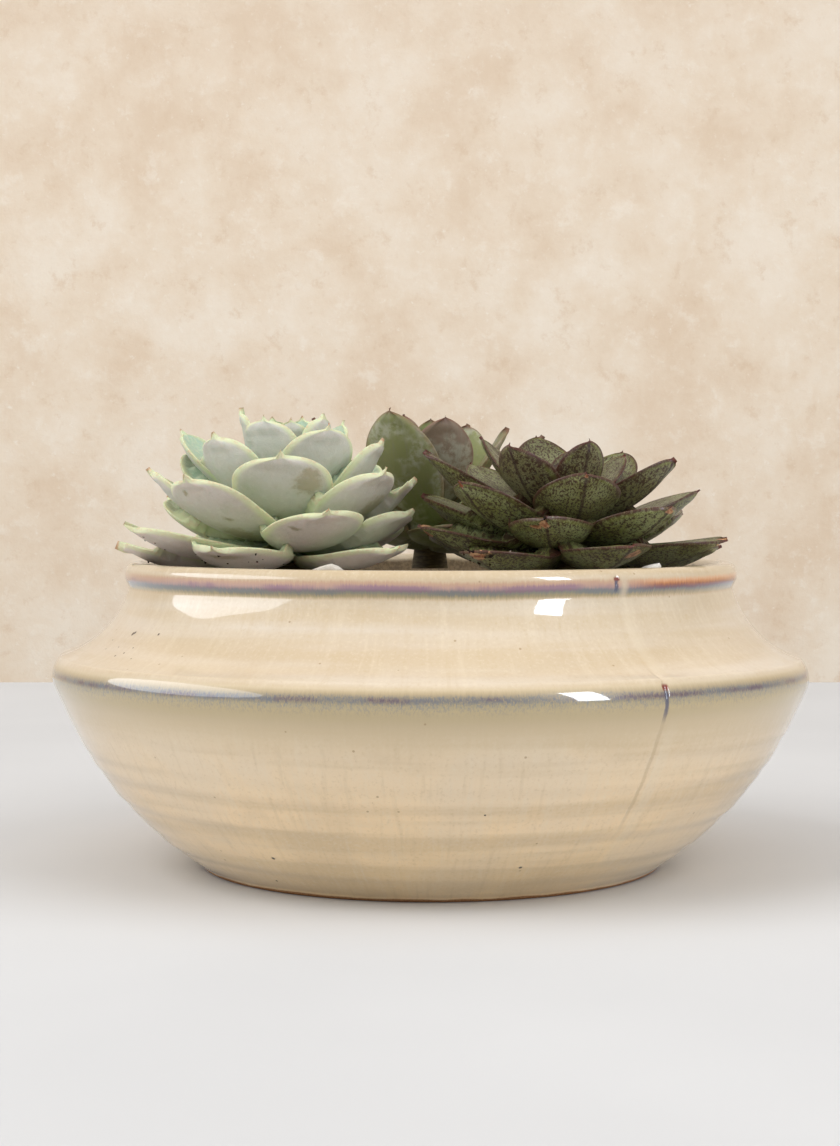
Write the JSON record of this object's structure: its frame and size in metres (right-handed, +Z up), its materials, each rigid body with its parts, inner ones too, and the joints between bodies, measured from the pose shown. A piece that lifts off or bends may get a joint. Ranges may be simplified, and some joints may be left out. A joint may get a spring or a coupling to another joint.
{
  "type": "bonsai pot",
  "caption": "Round glazed stoneware bowl with a sharp shoulder and hollow neck, planted with lift-out succulent rosettes.",
  "frame": {"origin": "centre of the foot ring's resting plane, on the bowl's upright axis", "axes": "+Z up along the bowl's axis, -Y is the front, +X is to the right seen from the front"},
  "size_m": [0.2498, 0.2498, 0.1521],
  "materials": {
    "glazed_stoneware": "glossy cream glaze, violet-blue where it pools",
    "plastic_mesh": "matte black",
    "aluminium_wire": "satin, brown",
    "drainage_grit": "rough",
    "soil": "rough, crumbly",
    "white_gravel": "rough",
    "stem": "rough",
    "pale_leaf": "matte with a waxy bloom",
    "speckled_leaf": "satin, speckled",
    "bronze_leaf": "satin with a light bloom"
  },
  "bodies": {
    "pot": {"pot_body": "glazed_stoneware", "drain_screen": "plastic_mesh", "screen_wire": "aluminium_wire", "drainage_layer": "drainage_grit", "soil_bed": "soil", "gravel_dressing": "white_gravel"},
    "pale_plant": {"pale_root_plug": "soil", "pale_stem": "stem", "pale_heart_leaves": "pale_leaf", "pale_inner_leaves": "pale_leaf", "pale_middle_leaves": "pale_leaf", "pale_outer_leaves": "pale_leaf", "pale_lower_leaves": "pale_leaf"},
    "speckled_plant": {"speckled_root_plug": "soil", "speckled_stem": "stem", "speckled_heart_leaves": "speckled_leaf", "speckled_inner_leaves": "speckled_leaf", "speckled_middle_leaves": "speckled_leaf", "speckled_outer_leaves": "speckled_leaf", "speckled_lower_leaves": "speckled_leaf"},
    "bronze_plant": {"bronze_root_plug": "soil", "bronze_stem": "stem", "bronze_heart_leaves": "bronze_leaf", "bronze_inner_leaves": "bronze_leaf", "bronze_middle_leaves": "bronze_leaf", "bronze_outer_leaves": "bronze_leaf", "bronze_lower_leaves": "bronze_leaf"}
  },
  "joints": [
    {"name": "pale_plant_lift", "type": "slide", "parent": "pot", "child": "pale_plant", "axis": [0, 0, 1], "range_m": [0, 0.08]},
    {"name": "speckled_plant_lift", "type": "slide", "parent": "pot", "child": "speckled_plant", "axis": [0, 0, 1], "range_m": [0, 0.08]},
    {"name": "bronze_plant_lift", "type": "slide", "parent": "pot", "child": "bronze_plant", "axis": [0, 0, 1], "range_m": [0, 0.08]}
  ]
}
